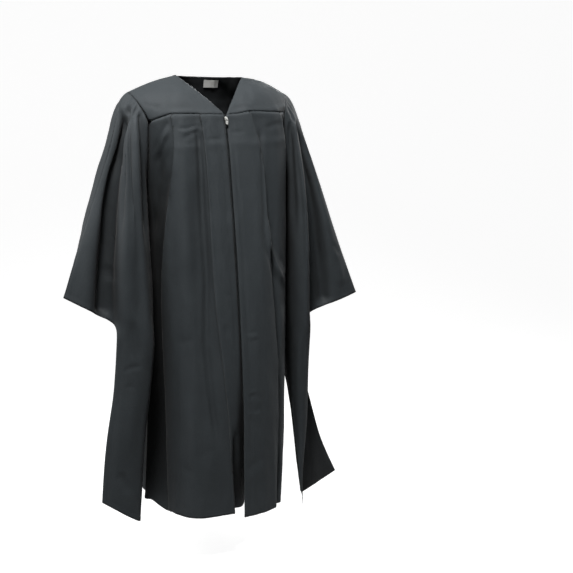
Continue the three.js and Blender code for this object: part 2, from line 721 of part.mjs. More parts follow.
// The closed zip: a tape on each side of a raised row of teeth, sewn behind the front edges.
const TAPE = { half: 12, chain: 1.3, rise: 1.1, thick: 1.2, clear: 1.5 };
function zipTape() {
  const rows = PANEL_ROWS.filter((share) => share <= 0.7);
  const shape = keyed(LEVELS, RIGHT_FRONT[0].out.map((out) => [out]));
  const xs = [-TAPE.half, -TAPE.half / 2, -TAPE.chain, TAPE.chain, TAPE.half / 2, TAPE.half];
  const grid = rows.map((share) => {
    const z = levelHeight(share);
    const out = shape(share)[0] - WALL - TAPE.clear - (share === 0 ? 0 : 0.4);
    return xs.map((x) => {
      const rise = Math.abs(x) <= TAPE.chain ? TAPE.rise : 0;
      const [, front] = bodyForm(-z);
      return at(x, -(front + out + rise), z);
    });
  });
  return clothWall(grid, BODY_CORE, { wall: TAPE.thick });
}
add("zip_tape", zipTape(), 0x222628, 0.7);

const toManifold = (geometry) => {
  const plain = geometry.clone();
  plain.deleteAttribute("normal");
  plain.deleteAttribute("uv");
  const merged = mergeVertices(plain.index ? plain.toNonIndexed() : plain, 1e-4);
  const vertProperties = merged.attributes.position.array;
  const triVerts = new Uint32Array(merged.index.array);
  return new wasm.Manifold(new wasm.Mesh({ numProp: 3, vertProperties, triVerts }));
};
const fromManifold = (solid) => {
  const { vertProperties, triVerts } = solid.getMesh();
  const geometry = new THREE.BufferGeometry();
  geometry.setAttribute("position", new THREE.BufferAttribute(vertProperties, 3));
  geometry.setIndex(new THREE.BufferAttribute(triVerts, 1));
  geometry.computeVertexNormals();
  return geometry;
};
const box = (x, y, z, centre) => toManifold(new THREE.BoxGeometry(x, y, z).translate(...centre));

// The slider and its pull tab lie in a frame of their own: -Y out of the cloth and Z up along it.
// The tab's pivot is the middle of the cross bar that the slider's bridge holds.
const SLIDER = { width: 8, height: 10, plate: 2, bridge: 2, rise: 4.4 };
const PIVOT = [0, -5.4, -1]; // from the middle of the slider's foot
const TAB = { width: 6.8, window: 4.6, length: 15, thick: 1.2, reach: 6.2 };
const sliderZ = SEAM - SLIDER_DROP;
const lean = Math.atan2(bodyForm(-sliderZ + 8)[1] - bodyForm(-sliderZ - 8)[1], 16);
const zipFrame = new THREE.Group();
zipFrame.position.set(0, -(bodyForm(-sliderZ)[1] + 1.5), sliderZ);
zipFrame.rotation.x = -lean;
gown.add(zipFrame);

function sliderGeometry() {
  const { width, height, plate, bridge, rise } = SLIDER;
  const shape = new THREE.Shape();
  shape.moveTo(-width / 2 + 1.5, -height / 2);
  shape.lineTo(width / 2 - 1.5, -height / 2);
  shape.lineTo(width / 2, height / 2 - 3);
  shape.quadraticCurveTo(width / 2, height / 2, 0, height / 2);
  shape.quadraticCurveTo(-width / 2, height / 2, -width / 2, height / 2 - 3);
  const top = new THREE.ExtrudeGeometry(shape, { depth: plate, bevelEnabled: false, curveSegments: 4 });
  const foot = toManifold(top.rotateX(Math.PI / 2)); // its outline in X and Z, its thickness along -Y
  const arch = box(bridge, rise, 7, [0, -plate - rise / 2 + 0.1, -0.5]);
  const hole = box(bridge + 2, 2.4, 4.4, [0, PIVOT[1] + 0.5, PIVOT[2]]);
  return fromManifold(foot.add(arch.subtract(hole)));
}

function tabGeometry() {
  const { width, window, length, thick, reach } = TAB;
  const shape = new THREE.Shape();
  const half = width / 2;
  shape.moveTo(-half, 0);
  shape.lineTo(-half, -length + half);
  shape.absarc(0, -length + half, half, Math.PI, 2 * Math.PI, false);
  shape.lineTo(half, 0);
  const plate = new THREE.ExtrudeGeometry(shape, { depth: thick, bevelEnabled: false, curveSegments: 8 });
  const tab = toManifold(plate.translate(0, 0, -thick / 2).rotateX(Math.PI / 2));
  const opening = box(window, thick + 2, reach + 1, [0, 0, (1 - reach) / 2]);
  const bar = toManifold(new THREE.CylinderGeometry(thick / 2, thick / 2, width, 16).rotateZ(Math.PI / 2));
  return fromManifold(tab.subtract(opening).add(bar));
}

const METAL = [0xe4e4e2, 0.35, 0.6];
zipFrame.add(add("zip_slider", sliderGeometry(), ...METAL));
const tab = add("pull_tab", tabGeometry(), ...METAL);
tab.position.set(...PIVOT);
tab.rotation.x = rad(TAB_REST);
zipFrame.add(tab);

// The label is sewn inside the back neck.
function labelGeometry() {
  const across = range(5).map((k) => LABEL.x + LABEL.width * (k / 4 - 0.5));
  const row = (share) => across.map((x) => insideBackYoke(x, LABEL.drop + share * LABEL.height));
  const grid = [0, 0.5, 1].map(row);
  return clothWall(grid, at(LABEL.x, 300, 0), { wall: LABEL.thick });
}
// The point of the back yoke's inner face under a place of the neck edge, some way down from it.
function insideBackYoke(x, drop) {
  const j = Math.max(backYoke[0].findIndex((point) => point.x > x), 1);
  const t = (x - backYoke[0][j - 1].x) / (backYoke[0][j].x - backYoke[0][j - 1].x);
  const column = backYoke.map((row) => row[j - 1].clone().lerp(row[j], t));
  const i = Math.max(column.findIndex((point) => point.z < column[0].z - drop), 1);
  const s = (column[0].z - drop - column[i - 1].z) / (column[i].z - column[i - 1].z);
  const point = column[i - 1].clone().lerp(column[i], s);
  return point.add(at(0, -(WALL + LABEL.thick + LABEL.clear), 0));
}
add("label", labelGeometry(), 0xf2f2ef, 0.6);

export default gown;
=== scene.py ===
"""A graduation gown of charcoal polyester, standing open as if worn, in studio light."""

import math

import bmesh
import bpy
import numpy as np
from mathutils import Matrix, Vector, kdtree, noise
from mathutils.bvhtree import BVHTree


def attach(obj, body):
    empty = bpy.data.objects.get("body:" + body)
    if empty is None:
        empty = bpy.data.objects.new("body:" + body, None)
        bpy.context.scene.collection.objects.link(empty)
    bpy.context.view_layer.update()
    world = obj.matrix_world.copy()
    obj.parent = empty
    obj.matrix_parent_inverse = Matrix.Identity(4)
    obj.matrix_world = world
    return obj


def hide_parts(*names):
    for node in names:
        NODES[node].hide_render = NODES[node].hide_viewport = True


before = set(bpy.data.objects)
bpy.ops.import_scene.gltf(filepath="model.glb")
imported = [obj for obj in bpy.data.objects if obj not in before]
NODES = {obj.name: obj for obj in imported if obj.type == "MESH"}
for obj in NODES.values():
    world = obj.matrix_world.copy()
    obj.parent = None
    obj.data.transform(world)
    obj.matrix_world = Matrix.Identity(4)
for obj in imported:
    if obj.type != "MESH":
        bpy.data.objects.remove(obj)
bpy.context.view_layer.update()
MM = 0.001


# ---------------------------------------------------------------- camera

TURN = math.radians(-22)  # the camera stands to the wearer's right of the front
AIM = math.radians(5.2)  # and looks a little past the gown
TILT = math.radians(-10.5)
AWAY = 2.3  # metres from the gown
HEIGHT = -0.15  # metres above the neck
LENS = 52.1  # mm


def make_camera():
    """A look slightly down at the gown, from the wearer's right of its front."""
    toward = Vector((math.sin(TURN), -math.cos(TURN), 0))
    right = Vector((math.cos(TURN), math.sin(TURN), 0))
    ahead = -toward * math.cos(AIM) + right * math.sin(AIM)
    look = ahead * math.cos(TILT) + Vector((0, 0, math.sin(TILT)))
    data = bpy.data.cameras.new("camera")
    data.lens = LENS
    data.sensor_width = 36
    data.clip_end = 50
    camera = bpy.data.objects.new("camera", data)
    camera.location = toward * AWAY + Vector((0, 0, HEIGHT))
    camera.rotation_euler = look.to_track_quat("-Z", "Y").to_euler()
    bpy.context.scene.collection.objects.link(camera)
    bpy.context.scene.camera = camera


make_camera()


# ---------------------------------------------------------------- materials


def linear(code):
    """An sRGB hex colour as linear RGBA."""
    out = []
    for i in (1, 3, 5):
        c = int(code[i : i + 2], 16) / 255
        out.append(c / 12.92 if c <= 0.04045 else ((c + 0.055) / 1.055) ** 2.4)
    return (*out, 1)


def add_node(tree, kind, links=None, **values):
    """A shader node with its inputs set by name and its links made."""
    node = tree.nodes.new(kind)
    for name, value in values.items():
        if hasattr(node, name):
            setattr(node, name, value)
        else:
            node.inputs[name.replace("_", " ")].default_value = value
    for name, source in (links or {}).items():
        tree.links.new(source, node.inputs[name])
    return node


def blank_material(name):
    material = bpy.data.materials.new(name)
    material.use_nodes = True
    tree = material.node_tree
    return material, tree, tree.nodes["Principled BSDF"]


def repeats(size):
    """The scale of a noise whose features are that many millimetres across."""
    return 1000 / size


WAVE = 0.314  # length of one wave at a scale of 1, in metres
PAINTED_SHADE_REACH = 0.13  # how far round a point its neighbours throw painted shade into its colour, in metres


def cloth_material(name, dark, light, pitch, bump=0.00012, painted_fold_shade=0.05):
    """Woven polyester: fine threads both ways, a slight unevenness of tone, and painted shade in deep
    folds.

    The pitch of its threads and the height of its weave are in metres. The painted fold shade is how
    much of its colour is left in the depth of a fold.
    """
    material, tree, shader = blank_material(name)
    place = add_node(tree, "ShaderNodeTexCoord")
    threads = []
    for direction in ("X", "Y"):
        wave = add_node(
            tree,
            "ShaderNodeTexWave",
            {"Vector": place.outputs["UV"]},
            bands_direction=direction,
            Scale=WAVE / pitch,
            Distortion=0.6,
            Detail=1.0,
        )
        threads.append(wave.outputs["Fac"])
    weave = add_node(
        tree, "ShaderNodeMath", {0: threads[0], 1: threads[1]}, operation="MULTIPLY"
    )
    slubs = add_node(
        tree,
        "ShaderNodeTexNoise",
        {"Vector": place.outputs["Object"]},
        Scale=repeats(2.381),
        Detail=3.0,
    )
    tone = add_node(
        tree,
        "ShaderNodeTexNoise",
        {"Vector": place.outputs["Object"]},
        Scale=repeats(111.1),
        Detail=4.0,
    )
    mixed = add_node(
        tree,
        "ShaderNodeMath",
        {0: tone.outputs["Fac"], 1: slubs.outputs["Fac"]},
        operation="MULTIPLY",
    )
    ramp = add_node(tree, "ShaderNodeValToRGB", {"Fac": mixed.outputs[0]})
    ramp.color_ramp.elements[0].position = 0.1
    ramp.color_ramp.elements[0].color = linear(dark)
    ramp.color_ramp.elements[1].position = 0.45
    ramp.color_ramp.elements[1].color = linear(light)
    crinkle = add_node(
        tree,
        "ShaderNodeTexNoise",
        {"Vector": place.outputs["Object"]},
        Scale=repeats(18.18),
        Detail=3.0,
    )
    coarse = add_node(
        tree,
        "ShaderNodeBump",
        {"Height": crinkle.outputs["Fac"]},
        Strength=0.35,
        Distance=0.0012,
    )
    fine = add_node(
        tree,
        "ShaderNodeBump",
        {"Height": weave.outputs[0], "Normal": coarse.outputs["Normal"]},
        Strength=0.4,
        Distance=bump,
    )
    # Painted shade: the colour is darkened where nearby cloth closes round a point, in folds and
    # recesses, to stand in for their shade.
    painted_shade_mask = add_node(tree, "ShaderNodeAmbientOcclusion", Distance=PAINTED_SHADE_REACH, samples=8)
    depth = add_node(tree, "ShaderNodeMapRange", {"Value": painted_shade_mask.outputs["AO"]})
    depth.inputs["From Min"].default_value = 0.3
    depth.inputs["From Max"].default_value = 0.9
    depth.inputs["To Min"].default_value = painted_fold_shade
    shade = add_node(
        tree,
        "ShaderNodeVectorMath",
        {"Vector": ramp.outputs["Color"], "Scale": depth.outputs["Result"]},
        operation="SCALE",
    )
    tree.links.new(shade.outputs["Vector"], shader.inputs["Base Color"])
    tree.links.new(fine.outputs["Normal"], shader.inputs["Normal"])
    shader.inputs["Roughness"].default_value = 0.72
    shader.inputs["Specular IOR Level"].default_value = 0.3
    shader.inputs["Sheen Weight"].default_value = 0.06
    shader.inputs["Sheen Roughness"].default_value = 0.45
    return material


# Charcoal polyester, woven from dyed yarn and pressed: matte, with a faint sheen along its folds.
# Its threads are drawn 0.45 mm apart, about twice their real distance, so that they can show.
# Its deep folds and recesses are darkened with painted shade.
GOWN_CLOTH = cloth_material("charcoal_polyester", "#2F3437", "#383D40", 0.00045)
# The same cloth's wrong side, unpressed, in a darker copy of its colour: painted shade for the inside
# of the gown.
GOWN_INSIDE_SHADED = cloth_material("charcoal_polyester_inside_painted_shade", "#191C1E", "#1E2123", 0.00045)


# ---------------------------------------------------------------- cloth pieces


FRONT = Vector((0, -1, 0))
BACK = Vector((0, 1, 0))
THICK = 1.4 * MM
CELL = 7.5 * MM  # longest side of a cell of cloth
WALL_SEEN = 7 * MM  # a face with no other within this behind it is on the cloth's rim
SHORT_EDGE = 1.9 * MM  # and so is one with a side as short as the wall is thick
PINCHED = 3 * MM  # a side shorter than this, with its faces turned apart, joins the two skins
# piece: which way it faces, how it is held, and its cut's width, length and area in metres
CLOTH = {
    "yoke_front_right": (FRONT, "stretched", 0.22, 0.16, 0.0236),
    "yoke_front_left": (FRONT, "stretched", 0.20, 0.18, 0.0217),
    "yoke_back": (BACK, "stretched", 0.50, 0.22, 0.0701),
    "front_right": (FRONT, "hung", 0.40, 1.08, 0.348),
    "front_left": (FRONT, "hung", 0.36, 1.08, 0.347),
    "back": (BACK, "gathered", 0.77, 1.06, 0.666),
    "sleeve_right_front": (FRONT, "gathered", 0.40, 1.16, 0.271),
    "sleeve_right_back": (BACK, "gathered", 0.35, 1.14, 0.157),
    "sleeve_left_front": (FRONT, "gathered", 0.38, 1.24, 0.209),
    "sleeve_left_back": (BACK, "gathered", 0.40, 1.24, 0.189),
}
# the edges that lie side by side without being sewn together
NOT_SEWN = [("front_right", "front_left"), ("yoke_front_right", "yoke_front_left")]


def outer_skin(node, outside):
    """The outside face of a cloth solid as a sheet of its own, in four-sided cells."""
    bm = bmesh.new()
    bm.from_mesh(NODES[node].data)
    bmesh.ops.remove_doubles(bm, verts=bm.verts, dist=2e-5)
    bm.normal_update()
    walls = BVHTree.FromBMesh(bm)
    rim = []
    for face in bm.faces:
        middle = face.calc_center_median()
        behind = walls.ray_cast(middle - face.normal * 1e-4, -face.normal, WALL_SEEN)
        if behind[0] is None or min(e.calc_length() for e in face.edges) < SHORT_EDGE:
            rim.append(face)
    bmesh.ops.delete(bm, geom=rim, context="FACES")
    left = set(bm.faces)
    skins = []
    while left:
        stack = [left.pop()]
        skin = []
        while stack:
            face = stack.pop()
            skin.append(face)
            for edge in face.edges:
                for other in edge.link_faces:
                    pinched = edge.calc_length() < PINCHED and face.normal.dot(other.normal) < 0
                    if other in left and not pinched:
                        left.remove(other)
                        stack.append(other)
        skins.append(skin)
    skins.sort(key=lambda skin: sum(f.calc_area() * f.normal.dot(outside) for f in skin))
    wanted = set(skins[-1])
    bmesh.ops.delete(bm, geom=[f for f in bm.faces if f not in wanted], context="FACES")
    bmesh.ops.join_triangles(
        bm, faces=bm.faces, angle_face_threshold=math.pi, angle_shape_threshold=math.pi
    )
    mesh = bpy.data.meshes.new(node + "_cloth")
    bm.to_mesh(mesh)
    bm.free()
    mesh.materials.clear()
    piece = bpy.data.objects.new(node + "_cloth", mesh)
    bpy.context.scene.collection.objects.link(piece)
    return piece


def lay_flat(piece):
    """Lays the sheet out flat as its UV map, in metres, with the grain upright."""
    bpy.ops.object.select_all(action="DESELECT")
    bpy.context.view_layer.objects.active = piece
    piece.select_set(True)
    bpy.ops.object.mode_set(mode="EDIT")
    bpy.ops.mesh.select_all(action="SELECT")
    bpy.ops.uv.unwrap(method="ANGLE_BASED", margin=0)
    bpy.ops.object.mode_set(mode="OBJECT")
    mesh = piece.data
    layer = mesh.uv_layers.active
    uv = np.zeros(len(mesh.loops) * 2)
    layer.uv.foreach_get("vector", uv)
    uv = uv.reshape(-1, 2)
    height = np.array([mesh.vertices[corner.vertex_index].co.z for corner in mesh.loops])
    flat = 0.0
    for face in mesh.polygons:
        q = uv[list(face.loop_indices)]
        before = np.roll(q, 1, axis=0)
        flat += abs((q[:, 0] * before[:, 1] - before[:, 0] * q[:, 1]).sum()) / 2
    uv = (uv - uv.mean(0)) * math.sqrt(sum(face.area for face in mesh.polygons) / flat)
    rise = (uv * (height - height.mean())[:, None]).sum(0)
    turn = math.atan2(rise[0], rise[1])
    c, s = math.cos(turn), math.sin(turn)
    uv = uv @ np.array([[c, s], [-s, c]])
    layer.uv.foreach_set("vector", uv.reshape(-1))


def bake(piece):
    """Takes the modifiers' result as the piece's own mesh."""
    graph = bpy.context.evaluated_depsgraph_get()
    mesh = bpy.data.meshes.new_from_object(piece.evaluated_get(graph))
    piece.modifiers.clear()
    piece.data = mesh


def refine(piece, longest):
    """Rounds the cells off, then halves their long sides until none is over the limit."""
    rounder = piece.modifiers.new("rounder", "SUBSURF")
    rounder.levels = rounder.render_levels = 2
    rounder.boundary_smooth = "PRESERVE_CORNERS"
    bake(piece)
    bm = bmesh.new()
    bm.from_mesh(piece.data)
    for _ in range(2):
        long = [e for e in bm.edges if e.calc_length() > longest]
        if long:
            bmesh.ops.subdivide_edges(bm, edges=long, cuts=1, use_grid_fill=True)
    bm.to_mesh(piece.data)
    bm.free()
    for face in piece.data.polygons:
        face.use_smooth = True


def points_of(mesh):
    out = np.zeros(len(mesh.vertices) * 3)
    mesh.vertices.foreach_get("co", out)
    return out.reshape(-1, 3)


def normals_of(mesh):
    out = np.zeros(len(mesh.vertices) * 3)
    mesh.vertex_normals.foreach_get("vector", out)
    return out.reshape(-1, 3)


def set_points(mesh, points):
    mesh.vertices.foreach_set("co", points.reshape(-1))
    mesh.update()


def open_edge(mesh):
    """The sides that only one face has."""
    seen = {}
    for face in mesh.polygons:
        for pair in face.edge_keys:
            seen[pair] = seen.get(pair, 0) + 1
    return [pair for pair, count in seen.items() if count == 1]


def along(mesh, pairs, step=1.0 * MM):
    """Points a step apart all along some of a mesh's sides."""
    at = points_of(mesh)
    out = []
    for a, b in pairs:
        count = max(1, int(np.linalg.norm(at[b] - at[a]) / step))
        out += [at[a] + (at[b] - at[a]) * (k / count) for k in range(count)]
    return out


def finder(points):
    tree = kdtree.KDTree(len(points))
    for i, point in enumerate(points):
        tree.insert(point, i)
    tree.balance()
    return tree


def nearest(mesh, pairs, points):
    """How far each point is from the nearest of some sides of a mesh, or 1 m if there are none."""
    if not pairs:
        return np.ones(len(points))
    tree = finder(along(mesh, pairs))
    return np.array([tree.find(p)[2] for p in points])


ARMHOLE_X = 0.16  # the armholes lie farther out than this
UNDERARM_Z = -0.34  # and higher than this


def sew(pieces, reach=6 * MM, soft=12 * MM, reach_at_arm=15 * MM):
    """Brings edges that are sewn together half way to each other.

    Gives each piece's sides that lie in a seam, and its free ones.
    """
    edges = {name: open_edge(piece.data) for name, piece in pieces.items()}
    lines = {name: finder(along(pieces[name].data, edges[name])) for name in pieces}
    seams, free, moved = {}, {}, {}
    for name, piece in pieces.items():
        at = points_of(piece.data)
        ring = sorted({i for pair in edges[name] for i in pair})
        shift = {}
        for i in ring:
            best = None
            near_arm = abs(at[i][0]) > ARMHOLE_X and at[i][2] > UNDERARM_Z
            allowed = reach_at_arm if near_arm else reach
            for other, line in lines.items():
                if other == name or (name, other) in NOT_SEWN or (other, name) in NOT_SEWN:
                    continue
                spot, _, far = line.find(at[i])
                if far < allowed and (best is None or far < best[1]):
                    best = (spot, far)
            if best:
                shift[i] = (np.array(best[0]) - at[i]) / 2
        seams[name] = [p for p in edges[name] if p[0] in shift and p[1] in shift]
        free[name] = [p for p in edges[name] if not (p[0] in shift and p[1] in shift)]
        ring_tree = finder([at[i] for i in ring])
        new = at.copy()
        for i, p in enumerate(at):
            _, k, far = ring_tree.find(p)
            if far < 3 * soft and ring[k] in shift:
                new[i] = p + shift[ring[k]] * math.exp(-((far / soft) ** 2))
        moved[name] = new
    for name, piece in pieces.items():
        set_points(piece.data, moved[name])
    return seams, free


# Creases by piece, each a way down the cloth in x and z (mm), then how far it stands out
# (troughs are below zero), its half width, and how quickly it fades at its start and end.
CREASES = {
    "front_right": [
        ([(-149, -118), (-168, -156), (-184, -206)], -2.6, 5, 0.2, 0.4),
        ([(-148, -132), (-167, -174), (-183, -224)], 2, 6, 0.3, 0.4),
        ([(-148, -147), (-166, -194), (-182, -242)], -2.4, 6, 0.3, 0.4),
        ([(-149, -182), (-164, -234), (-176, -290)], -2.6, 7, 0.3, 0.4),
        ([(-150, -240), (-161, -296), (-168, -352)], -2.4, 8, 0.3, 0.4),
        ([(-172, -150), (-176, -240), (-180, -330), (-186, -430)], -9, 13, 0.3, 0.2),
        ([(-188, -330), (-186, -430), (-184, -500), (-200, -575)], -4, 10, 0.3, 0.2),
        (
            [(-77, -125), (-78, -216), (-79, -374), (-79, -534), (-88, -700), (-80, -860), (-68, -985)],
            -6,
            7,
            0.05,
            0.1,
        ),
        ([(-66, -125), (-67, -295), (-66, -450), (-67, -566)], 2.2, 4, 0.05, 0.3),
        ([(-30, -900), (-24, -980), (-18, -1060), (-8, -1175)], -14, 9, 0.4, 0.0),
        ([(-139, -139), (-108, -139), (-69, -129)], -1.6, 4, 0.3, 0.3),
        ([(-137, -147), (-108, -147), (-72, -136)], 1.4, 4, 0.3, 0.3),
        ([(-127, -168), (-99, -154), (-71, -144)], -1.6, 4, 0.3, 0.3),
        ([(-125, -180), (-84, -176)], -1.3, 4, 0.3, 0.3),
        ([(-146, -184), (-126, -188), (-96, -183), (-66, -185)], 1.1, 10, 0.1, 0.1),
        ([(-66, -182), (-38, -179), (-5, -181)], 1.1, 9, 0.1, 0.1),
        ([(-60, -168), (-13, -165)], -1.4, 4, 0.3, 0.3),
        ([(-127, -240), (-127, -429), (-122, -560)], 3, 16, 0.3, 0.4),
        ([(-98, -260), (-100, -520), (-98, -900)], -2.5, 17, 0.3, 0.4),
        ([(-166, -700), (-138, -682), (-104, -674)], -1.1, 11, 0.5, 0.5),
        ([(-140, -996), (-96, -982), (-48, -972)], -1.1, 12, 0.5, 0.5),
        ([(-163, -1012), (-145, -1033), (-121, -1047)], -1.3, 11, 0.5, 0.5),
        ([(-70, -700), (-80, -860), (-86, -1100)], 3, 20, 0.4, 0.2),
        ([(-130, -760), (-128, -900), (-122, -1120)], 2.5, 17, 0.4, 0.2),
        ([(-45, -640), (-41, -671)], -1.5, 6, 0.3, 0.3),
        ([(-42, -560), (-20, -570)], -1.2, 4, 0.3, 0.3),
    ],
    "front_left": [
        ([(4, -179), (34, -176), (66, -180), (96, -176)], 1.1, 10, 0.1, 0.1),
        ([(96, -172), (130, -175), (184, -168)], 1.1, 10, 0.1, 0.1),
        ([(102, -130), (94, -230), (91, -330), (90, -450)], -3.5, 6, 0.1, 0.3),
        ([(8, -150), (50, -146)], -1.2, 4, 0.3, 0.3),
        ([(110, -140), (150, -128), (178, -122)], -1.5, 7, 0.3, 0.3),
        ([(4, -664), (33, -666), (66, -673)], -1.2, 2.6, 0.3, 0.5),
        ([(4, -674), (33, -677), (60, -681)], 0.9, 3.2, 0.3, 0.5),
        ([(3, -686), (32, -690), (57, -688)], -1.2, 2.6, 0.3, 0.5),
        ([(2, -700), (31, -699), (50, -706)], -1.0, 2.6, 0.3, 0.5),
        ([(-2, -819), (30, -824), (63, -829)], 1.2, 3, 0.2, 0.5),
        ([(-3, -830), (30, -837), (62, -845)], -1.4, 2.8, 0.2, 0.5),
        ([(-4, -846), (30, -852), (61, -857)], 1.1, 3, 0.2, 0.5),
        ([(-7, -870), (22, -871), (61, -875)], -1.5, 2.8, 0.2, 0.5),
        ([(-8, -884), (16, -881), (53, -893)], 1.0, 3, 0.2, 0.5),
        ([(-9, -1037), (30, -1016), (72, -1002)], -1.5, 11, 0.2, 0.5),
        ([(-6, -1064), (34, -1046), (74, -1030)], 1.2, 12, 0.2, 0.5),
        ([(94, -350), (104, -441), (127, -505), (166, -570)], 6, 8, 0.3, 0.2),
        ([(84, -360), (92, -450), (112, -520), (150, -590)], -3.5, 9, 0.3, 0.3),
        ([(112, -360), (122, -430), (145, -485), (175, -535)], -3, 9, 0.3, 0.3),
        ([(151, -603), (135, -712), (112, -805)], 4, 13, 0.3, 0.3),
        ([(38, -220), (42, -500), (40, -640)], -2, 17, 0.3, 0.3),
        ([(14, -110), (18, -400), (16, -800), (8, -1150)], -0.9, 3, 0.02, 0.02),
        ([(96, -900), (104, -1000), (110, -1130)], -3, 12, 0.3, 0.1),
    ],
    "sleeve_right_front": [
        ([(-213, -56), (-232, -73), (-252, -88)], -4, 5, 0.0, 0.5),
        ([(-214, -68), (-229, -84), (-247, -104)], -4.5, 5, 0.0, 0.5),
        ([(-212, -62), (-231, -79), (-249, -96)], 4, 4.5, 0.0, 0.5),
        ([(-214, -80), (-224, -98), (-232, -130)], -4.5, 5, 0.0, 0.6),
        ([(-213, -74), (-226, -91), (-240, -118)], 4, 4.5, 0.0, 0.6),
        ([(-231, -78), (-256, -137), (-271, -214), (-281, -320), (-288, -430)], -10, 6, 0.05, 0.4),
        ([(-220, -83), (-233, -137), (-241, -214), (-252, -369), (-256, -520)], 8, 9, 0.05, 0.4),
        ([(-240, -88), (-260, -160), (-277, -262), (-292, -400)], 6, 6, 0.05, 0.4),
        ([(-214, -92), (-214, -153), (-213, -238), (-216, -348), (-218, -451)], -9, 8, 0.05, 0.3),
        (
            [(-247, -80), (-271, -176), (-292, -293), (-308, -412), (-324, -531), (-332, -620)],
            -22,
            17,
            0.08,
            0.05,
        ),
        ([(-330, -300), (-352, -420), (-376, -600)], 5, 20, 0.4, 0.0),
        ([(-308, -480), (-303, -530)], -3, 8, 0.4, 0.3),
        ([(-272, -610), (-257, -697), (-250, -760)], -5, 11, 0.3, 0.4),
        ([(-256, -600), (-241, -690), (-236, -760)], 3.5, 11, 0.3, 0.4),
        ([(-297, -756), (-274, -745), (-242, -743)], -1.8, 6, 0.3, 0.3),
        ([(-292, -800), (-268, -794)], -1.5, 6, 0.3, 0.3),
        ([(-321, -1021), (-301, -1058), (-285, -1096)], -3.5, 12, 0.3, 0.3),
        ([(-270, -800), (-288, -930), (-305, -1020)], 2.5, 16, 0.3, 0.3),
    ],
    "sleeve_left_front": [
        ([(213, -50), (232, -66), (250, -84)], -4, 5, 0.0, 0.5),
        ([(214, -62), (230, -80), (246, -104)], -4.5, 5, 0.0, 0.5),
        ([(213, -56), (231, -73), (248, -94)], 4, 4.5, 0.0, 0.5),
        ([(213, -78), (222, -100), (228, -140)], -4, 5, 0.0, 0.6),
        ([(224, -110), (231, -221), (238, -340), (243, -480), (245, -600)], 7, 5, 0.05, 0.3),
        ([(212, -110), (211, -286), (212, -455)], -7, 8, 0.1, 0.3),
        ([(240, -110), (252, -200), (264, -300), (276, -420), (284, -560)], -10, 8, 0.05, 0.2),
        ([(256, -130), (284, -290), (300, -420), (312, -520), (320, -620)], -22, 20, 0.15, 0.0),
        ([(312, -280), (350, -450), (384, -600)], 3.5, 18, 0.4, 0.1),
        ([(350, -462), (382, -506)], -2, 5, 0.3, 0.3),
        ([(340, -470), (370, -520)], 1.5, 6, 0.3, 0.3),
        ([(223, -700), (226, -860), (228, -960)], 3.5, 7, 0.3, 0.4),
        ([(212, -880), (221, -987), (233, -1097)], -3.5, 7, 0.3, 0.3),
        ([(236, -690), (240, -800), (244, -900)], -3, 7, 0.3, 0.3),
    ],
    "sleeve_right_back": [
        ([(-214, -62), (-234, -84), (-256, -112)], -4.5, 5, 0.0, 0.5),
        ([(-214, -76), (-230, -100), (-246, -140)], -4.5, 5, 0.0, 0.5),
        ([(-212, -100), (-224, -140), (-234, -190)], -4, 6, 0.0, 0.5),
        ([(-214, -69), (-232, -92), (-251, -126)], 4, 5, 0.0, 0.5),
        ([(-262, -150), (-290, -300), (-320, -480)], -5, 13, 0.2, 0.3),
        ([(-290, -170), (-330, -330), (-362, -480)], 4, 15, 0.3, 0.2),
        ([(-232, -240), (-244, -400), (-258, -560)], -4.5, 11, 0.2, 0.3),
        ([(-250, -700), (-262, -850), (-276, -1000)], -3, 10, 0.3, 0.3),
        ([(-240, -640), (-262, -632), (-290, -560)], -2, 8, 0.3, 0.3),
    ],
    "sleeve_left_back": [
        ([(214, -58), (234, -80), (256, -108)], -4.5, 5, 0.0, 0.5),
        ([(214, -72), (230, -96), (246, -136)], -4.5, 5, 0.0, 0.5),
        ([(212, -98), (224, -138), (233, -188)], -4, 6, 0.0, 0.5),
        ([(214, -65), (232, -88), (251, -122)], 4, 5, 0.0, 0.5),
        ([(258, -150), (284, -300), (312, -480)], -5, 13, 0.2, 0.3),
        ([(284, -170), (318, -330), (350, -500)], 4, 15, 0.3, 0.2),
        ([(230, -240), (242, -400), (254, -560)], -4.5, 11, 0.2, 0.3),
        ([(290, -760), (320, -900), (352, -1040)], -3, 12, 0.3, 0.3),
        ([(256, -700), (276, -860), (290, -1000)], 3, 12, 0.3, 0.3),
    ],
    "yoke_front_right": [
        ([(-157, -90), (-110, -86), (-66, -92)], -1.2, 5, 0.3, 0.3),
        ([(-205, -76), (-180, -84), (-160, -92)], -1.5, 6, 0.2, 0.3),
        ([(-70, -30), (-90, -60), (-100, -86)], 1.2, 14, 0.3, 0.3),
    ],
    "yoke_front_left": [
        ([(18, -88), (58, -81), (99, -83)], -1.6, 3.5, 0.2, 0.3),
        ([(22, -80), (60, -74), (104, -78)], 1.5, 4, 0.2, 0.3),
        ([(30, -66), (66, -70), (112, -84)], -1.4, 4, 0.2, 0.3),
        ([(140, -88), (180, -80), (214, -78)], 2.2, 5, 0.2, 0.1),
        ([(150, -80), (182, -70), (212, -66)], -1.8, 5, 0.3, 0.1),
    ],
    "yoke_back": [
        ([(-150, -60), (-60, -72), (60, -70), (150, -58)], -1.4, 10, 0.3, 0.3),
        ([(-120, -30), (-80, -60), (-60, -100)], 1.2, 14, 0.3, 0.3),
        ([(110, -30), (84, -64), (66, -100)], 1.2, 14, 0.3, 0.3),
    ],
    "back": [
        ([(-150, -420), (-110, -408), (-70, -420)], -2, 8, 0.3, 0.3),
        ([(60, -560), (110, -548), (150, -566)], -2, 9, 0.3, 0.3),
        ([(-60, -760), (-10, -748), (50, -762)], -2.2, 9, 0.3, 0.3),
        ([(-140, -900), (-90, -884), (-40, -890)], -2.2, 11, 0.3, 0.3),
        ([(20, -1010), (80, -992), (130, -1002)], -2.5, 12, 0.3, 0.3),
    ],
}


